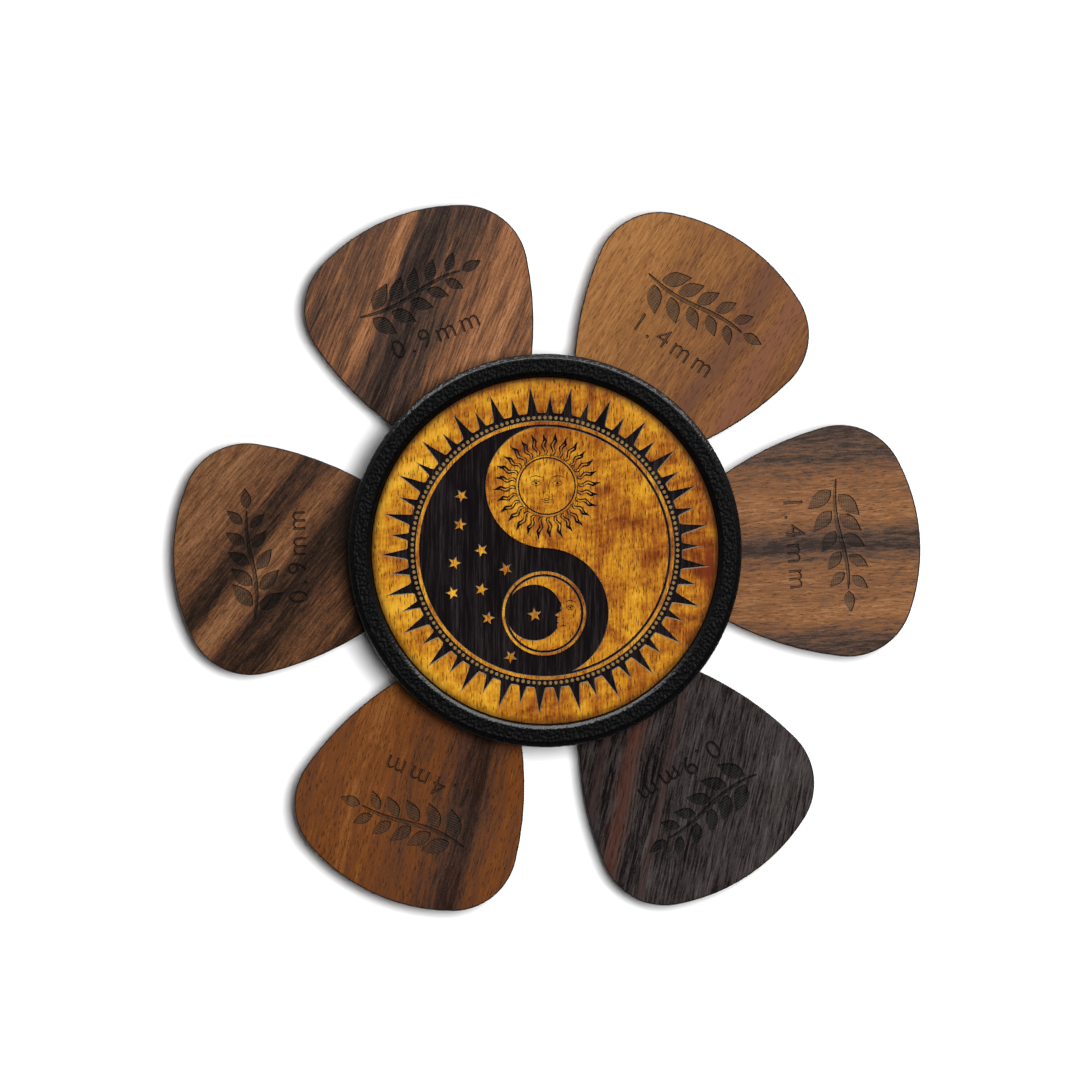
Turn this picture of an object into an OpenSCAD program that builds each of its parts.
// Round magnetic pick holder.
// A leather-bound base and a leather-bound lid with a wooden disc close on a fan of six guitar picks.
// Two magnets in the middle pull the halves together, and six dowels keep the picks in their bays.
// Millimetres. Z is up, and the origin is the centre of the foot pad's lower face.

/* [Puck] */
// Outer diameter of both halves
puck_d = 44; // [44:0.5:50]
// Width of the leather rim that shows round the wooden disc
rim_w = 2.6; // [2.2:0.1:2.8]
// Thickness of the leather and of the suede linings
skin_t = 0.6; // [0.5:0.1:0.8]
// Thickness of the base's moulded core
base_core_t = 2.1; // [1.8:0.1:4]
// Thickness of the lid's moulded core under the wooden disc
lid_core_t = 2.7; // [2.5:0.1:4]
// Height of the gap between the linings, where the picks lie
pick_gap = 1.6; // [1.6:0.1:2.4]

/* [Foot pad] */
// Diameter of the foot pad
foot_d = 32; // [24:1:36]
// Height that the foot pad stands below the leather
foot_drop = 0.3; // [0.2:0.1:0.6]

/* [Wooden disc] */
// Thickness of the wooden disc
disc_t = 1.3; // [1:0.1:2]
// Depth of the wooden disc's face below the top of the rim
disc_drop = 0.6; // [0.3:0.1:1]

/* [Closure] */
// Diameter of the hub in the middle, where the two halves meet
hub_d = 16; // [15:0.5:18]
// Diameter of each magnet and of the steel keeper behind it
magnet_d = 12; // [8:0.5:13]
// Thickness of each magnet
magnet_t = 2; // [1.5:0.1:2]
// Thickness of each steel keeper
keeper_t = 0.6; // [0.4:0.1:0.6]
// Diameter of the six locating dowels
pin_d = 2.5; // [1.5:0.1:2.6]
// Radius of the circle that the dowels stand on
pin_ring_r = 17.6; // [17:0.1:18]

/* [Picks] */
// Width of a pick across its shoulders
pick_w = 26; // [25:0.1:26]
// Length of a pick from its tip to the middle of its top edge
pick_l = 30.3; // [29.5:0.1:31]
// Thickness of the thin picks
thin_t = 0.9; // [0.5:0.1:1.4]
// Thickness of the thick picks
thick_t = 1.4; // [0.5:0.1:1.4]

/* [Hidden] */
$fn = 96;

PICK_NAMES = ["pick_right", "pick_upper_right", "pick_upper_left",
              "pick_left", "pick_lower_left", "pick_lower_right"];
PIN_NAMES = [for (i = [1:6]) str("locating_pin_", i)];

// Radii
puck_r = puck_d / 2;
core_r = puck_r - skin_t;        // outside of both cores, under the leather
lip_r = puck_r - rim_w;          // inside of the rim's leather
tuck_r = lip_r + skin_t;         // where the leather's turned-in edges end
hub_r = hub_d / 2;
pin_r = pin_d / 2;
foot_r = foot_d / 2;

// Clearances
glue_gap = 0.02;                 // between glued pieces
hole_gap = 0.1;                  // round the hub, the dowels and the foot pad
loose_gap = 0.15;                // round the dowels in the lid's lining
magnet_drop = 0.1;               // depth of a magnet's face in its pocket
pin_reach = 1.6;                 // of the dowels into the lid
socket_spare = 0.4;              // above the dowels in their sockets
past = 1;                        // how far a cutter runs past the faces it cuts

// Levels, from the table upwards
z_leather = foot_drop;
z_core = z_leather + skin_t;
z_core_top = z_core + base_core_t;
z_base_face = z_core_top + skin_t;
z_lid_face = z_base_face + pick_gap;
z_lid_core = z_lid_face + skin_t;
z_seat = z_lid_core + lid_core_t;
z_disc_top = z_seat + disc_t;
z_rim_top = z_disc_top + disc_drop;
pocket_depth = magnet_drop + magnet_t + keeper_t;
pin_top = z_lid_face + pin_reach;
socket_top = pin_top + socket_spare;

// Edge roundings of the leather
round_top = 0.7;
round_lip = 0.45;
round_gap = 0.4;
foot_edge = 0.2;
disc_edge = 0.15;
pin_edge = 0.35;
magnet_edge = 0.15;
keeper_edge = 0.08;

// The dowels stand between the picks' bays
bay_step = 60;
pin_turn = 29;

// Pick outline: a rounded tip, two nearly straight sides, round shoulders and a bowed top edge
tip_r = 2.7;
shoulder_r = 7.3;
top_r = 21.4;
side_r = 36;
arc_step = 4;
pick_lift = 0.1;                 // above the base's lining

// How each pick lies in its bay: turn of its axis, swing of its tip, distance of its tip, thickness
PICK_LIE = [
    [4.5, -3, 11.8, thick_t],
    [-4.5, 1, 10.8, thick_t],
    [-7, 3, 10.9, thin_t],
    [2, 1, 11.4, thin_t],
    [5.5, -1, 12.7, thick_t],
    [4, -2, 12.7, thin_t],
];

LEATHER = "#161616";
CORE = "#2b2b2d";
SUEDE = "#3a3634";
STEEL = "#b9bcc0";
AMBER_WOOD = "#c47f1c";
PICK_WOODS = ["#7a5030", "#8a5a30", "#6f4a32", "#5e4030", "#7d4a1e", "#35302c"];

// ---------- small helpers ----------

function unit(v) = v / norm(v);
function at_angle(r, a) = [r * cos(a), r * sin(a)];
function angle_of(v) = atan2(v.y, v.x);

// The point to the left of the line from p to q that is rp from p and rq from q
function meet(p, rp, q, rq) =
    let (d = norm(q - p), u = (q - p) / d, a = (rp * rp - rq * rq + d * d) / (2 * d))
    p + a * u + sqrt(rp * rp - a * a) * [-u.y, u.x];

// Points along an arc from angle a0 to angle a1
function arc(c, r, a0, a1) =
    let (n = max(1, ceil(abs(a1 - a0) / arc_step)))
    [for (i = [0:n]) c + at_angle(r, a0 + (a1 - a0) * i / n)];

// A ring, from radius r0 to r1 and from level z0 to z1
module ring(r0, z0, r1, z1) {
    translate([0, 0, z0])
    difference() {
        cylinder(r = r1, h = z1 - z0);
        if (r0 > 0) translate([0, 0, -past]) cylinder(r = r0, h = z1 - z0 + 2 * past);
    }
}

// A rectangle in a section, given by two corners
module span(r0, z0, r1, z1) {
    translate([r0, z0]) square([r1 - r0, z1 - z0]);
}

// What a rounding of radius c takes off the corner at [r, z]; sr and sz point inwards
module corner_cut(r, z, sr, sz, c) {
    difference() {
        translate([r + (sr - 1) * c / 2, z + (sz - 1) * c / 2]) square(c);
        translate([r + sr * c, z + sz * c]) circle(r = c);
    }
}

// A turned disc with a chamfer on both edges
module chamfered_disc(r, z0, z1, c) {
    rotate_extrude()
    polygon([[0, z0], [r - c, z0], [r, z0 + c], [r, z1 - c], [r - c, z1], [0, z1]]);
}

module at_pins() {
    for (i = [0:5]) rotate(pin_turn + i * bay_step) translate([pin_ring_r, 0, 0]) children();
}

module pin_holes(r, z0, z1) {
    at_pins() translate([0, 0, z0]) cylinder(r = r, h = z1 - z0, $fn = 48);
}

// ---------- base ----------

module foot_pad() {
    color(SUEDE) chamfered_disc(foot_r, 0, z_core, foot_edge);
}

module base_leather() {
    color(LEATHER)
    rotate_extrude()
    difference() {
        span(foot_r + hole_gap, z_leather, puck_r, z_base_face);
        span(0, z_core, core_r, z_core_top);
        span(0, z_core_top - glue_gap, tuck_r, z_base_face + past);
        corner_cut(puck_r, z_leather, -1, 1, round_top);
        corner_cut(puck_r, z_base_face, -1, -1, round_gap);
    }
}

module base_core() {
    color(CORE)
    difference() {
        ring(hub_r + glue_gap, z_core, core_r - glue_gap, z_core_top);
        pin_holes(pin_r + glue_gap, z_core - past, z_core_top + past);
    }
}

module base_hub() {
    color(CORE)
    difference() {
        ring(0, z_core, hub_r, z_lid_face);
        ring(0, z_lid_face - pocket_depth, magnet_d / 2 + glue_gap, z_lid_face + past);
    }
}

module base_keeper() {
    z = z_lid_face - pocket_depth;
    color(STEEL) chamfered_disc(magnet_d / 2, z, z + keeper_t, keeper_edge);
}

module base_magnet() {
    z = z_lid_face - magnet_drop;
    color(STEEL) chamfered_disc(magnet_d / 2, z - magnet_t, z, magnet_edge);
}

module base_lining() {
    color(SUEDE)
    difference() {
        ring(hub_r + hole_gap, z_core_top, tuck_r - glue_gap, z_base_face);
        pin_holes(pin_r + hole_gap, z_core_top - past, z_base_face + past);
    }
}

// A dowel, pressed into the base's core, with a chamfered head that enters the lid
module locating_pin(i) {
    color(STEEL)
    rotate(pin_turn + i * bay_step)
    translate([pin_ring_r, 0, 0])
    rotate_extrude($fn = 48)
    polygon([[0, z_core], [pin_r, z_core], [pin_r, pin_top - pin_edge],
             [pin_r - pin_edge, pin_top], [0, pin_top]]);
}

// ---------- lid ----------

module lid_lining() {
    color(SUEDE)
    difference() {
        ring(hub_r + hole_gap, z_lid_face, tuck_r - glue_gap, z_lid_core);
        pin_holes(pin_r + loose_gap, z_lid_face - past, z_lid_core + past);
    }
}

module lid_core() {
    color(CORE)
    difference() {
        rotate_extrude()
        difference() {
            union() {
                span(0, z_lid_core, core_r - glue_gap, z_seat);
                span(0, z_lid_face, hub_r, z_lid_core + glue_gap);
                span(tuck_r + glue_gap, z_lid_core, core_r - glue_gap, z_rim_top - skin_t - glue_gap);
            }
            span(0, z_lid_face - past, magnet_d / 2 + glue_gap, z_lid_face + pocket_depth);
        }
        pin_holes(pin_r + hole_gap, z_lid_face - past, socket_top);
    }
}

module lid_keeper() {
    z = z_lid_face + pocket_depth;
    color(STEEL) chamfered_disc(magnet_d / 2, z - keeper_t, z, keeper_edge);
}

module lid_magnet() {
    z = z_lid_face + magnet_drop;
    color(STEEL) chamfered_disc(magnet_d / 2, z, z + magnet_t, magnet_edge);
}

// The leather wraps the core's raised ring: turned in under the lid, up the side,
// over the rim and down to the wooden disc's seat
module lid_leather() {
    color(LEATHER)
    rotate_extrude()
    difference() {
        span(lip_r, z_lid_face, puck_r, z_rim_top);
        span(0, z_lid_face - past, tuck_r, z_seat);
        span(tuck_r - glue_gap, z_lid_core, core_r, z_rim_top - skin_t);
        corner_cut(puck_r, z_rim_top, -1, -1, round_top);
        corner_cut(lip_r, z_rim_top, 1, -1, round_lip);
        corner_cut(puck_r, z_lid_face, -1, 1, round_gap);
    }
}

module wood_disc() {
    color(AMBER_WOOD) chamfered_disc(lip_r - glue_gap, z_seat, z_disc_top, disc_edge);
}

// ---------- picks ----------

// The right half of a pick's outline, with its tip at the origin and its top edge towards +Y
function pick_half() =
    let (
        tip_c = [0, tip_r],
        top_c = [0, pick_l - top_r],
        shoulder_x = pick_w / 2 - shoulder_r,
        shoulder_c = top_c + [shoulder_x, sqrt(pow(top_r - shoulder_r, 2) - pow(shoulder_x, 2))],
        side_c = meet(tip_c, side_r - tip_r, shoulder_c, side_r - shoulder_r),
        side_a0 = angle_of(tip_c - side_c),
        side_a1 = angle_of(shoulder_c - side_c),
        top_a = angle_of(shoulder_c - top_c)
    )
    concat(arc(tip_c, tip_r, -90, side_a0), arc(side_c, side_r, side_a0, side_a1),
           arc(shoulder_c, shoulder_r, side_a1, top_a), arc(top_c, top_r, top_a, 90));

module pick_outline() {
    half = pick_half();
    right = [for (i = [0:len(half) - 1]) if (i == 0 || norm(half[i] - half[i - 1]) > 0.001) half[i]];
    left = [for (i = [len(right) - 2:-1:1]) [-right[i].x, right[i].y]];
    polygon(concat(right, left));
}

module pick(i) {
    lie = PICK_LIE[i];
    bay = i * bay_step;
    tip = at_angle(lie[2], bay + lie[1]);
    color(PICK_WOODS[i])
    translate([tip.x, tip.y, z_base_face + pick_lift])
    rotate(bay + lie[0] - 90)
    linear_extrude(lie[3])
    pick_outline();
}

// ---------- nodes ----------

foot_pad();
base_leather();
base_core();
base_hub();
base_keeper();
base_magnet();
base_lining();
lid_lining();
lid_core();
lid_keeper();
lid_magnet();
lid_leather();
wood_disc();
for (i = [0:5]) locating_pin(i);
for (i = [0:5]) pick(i);
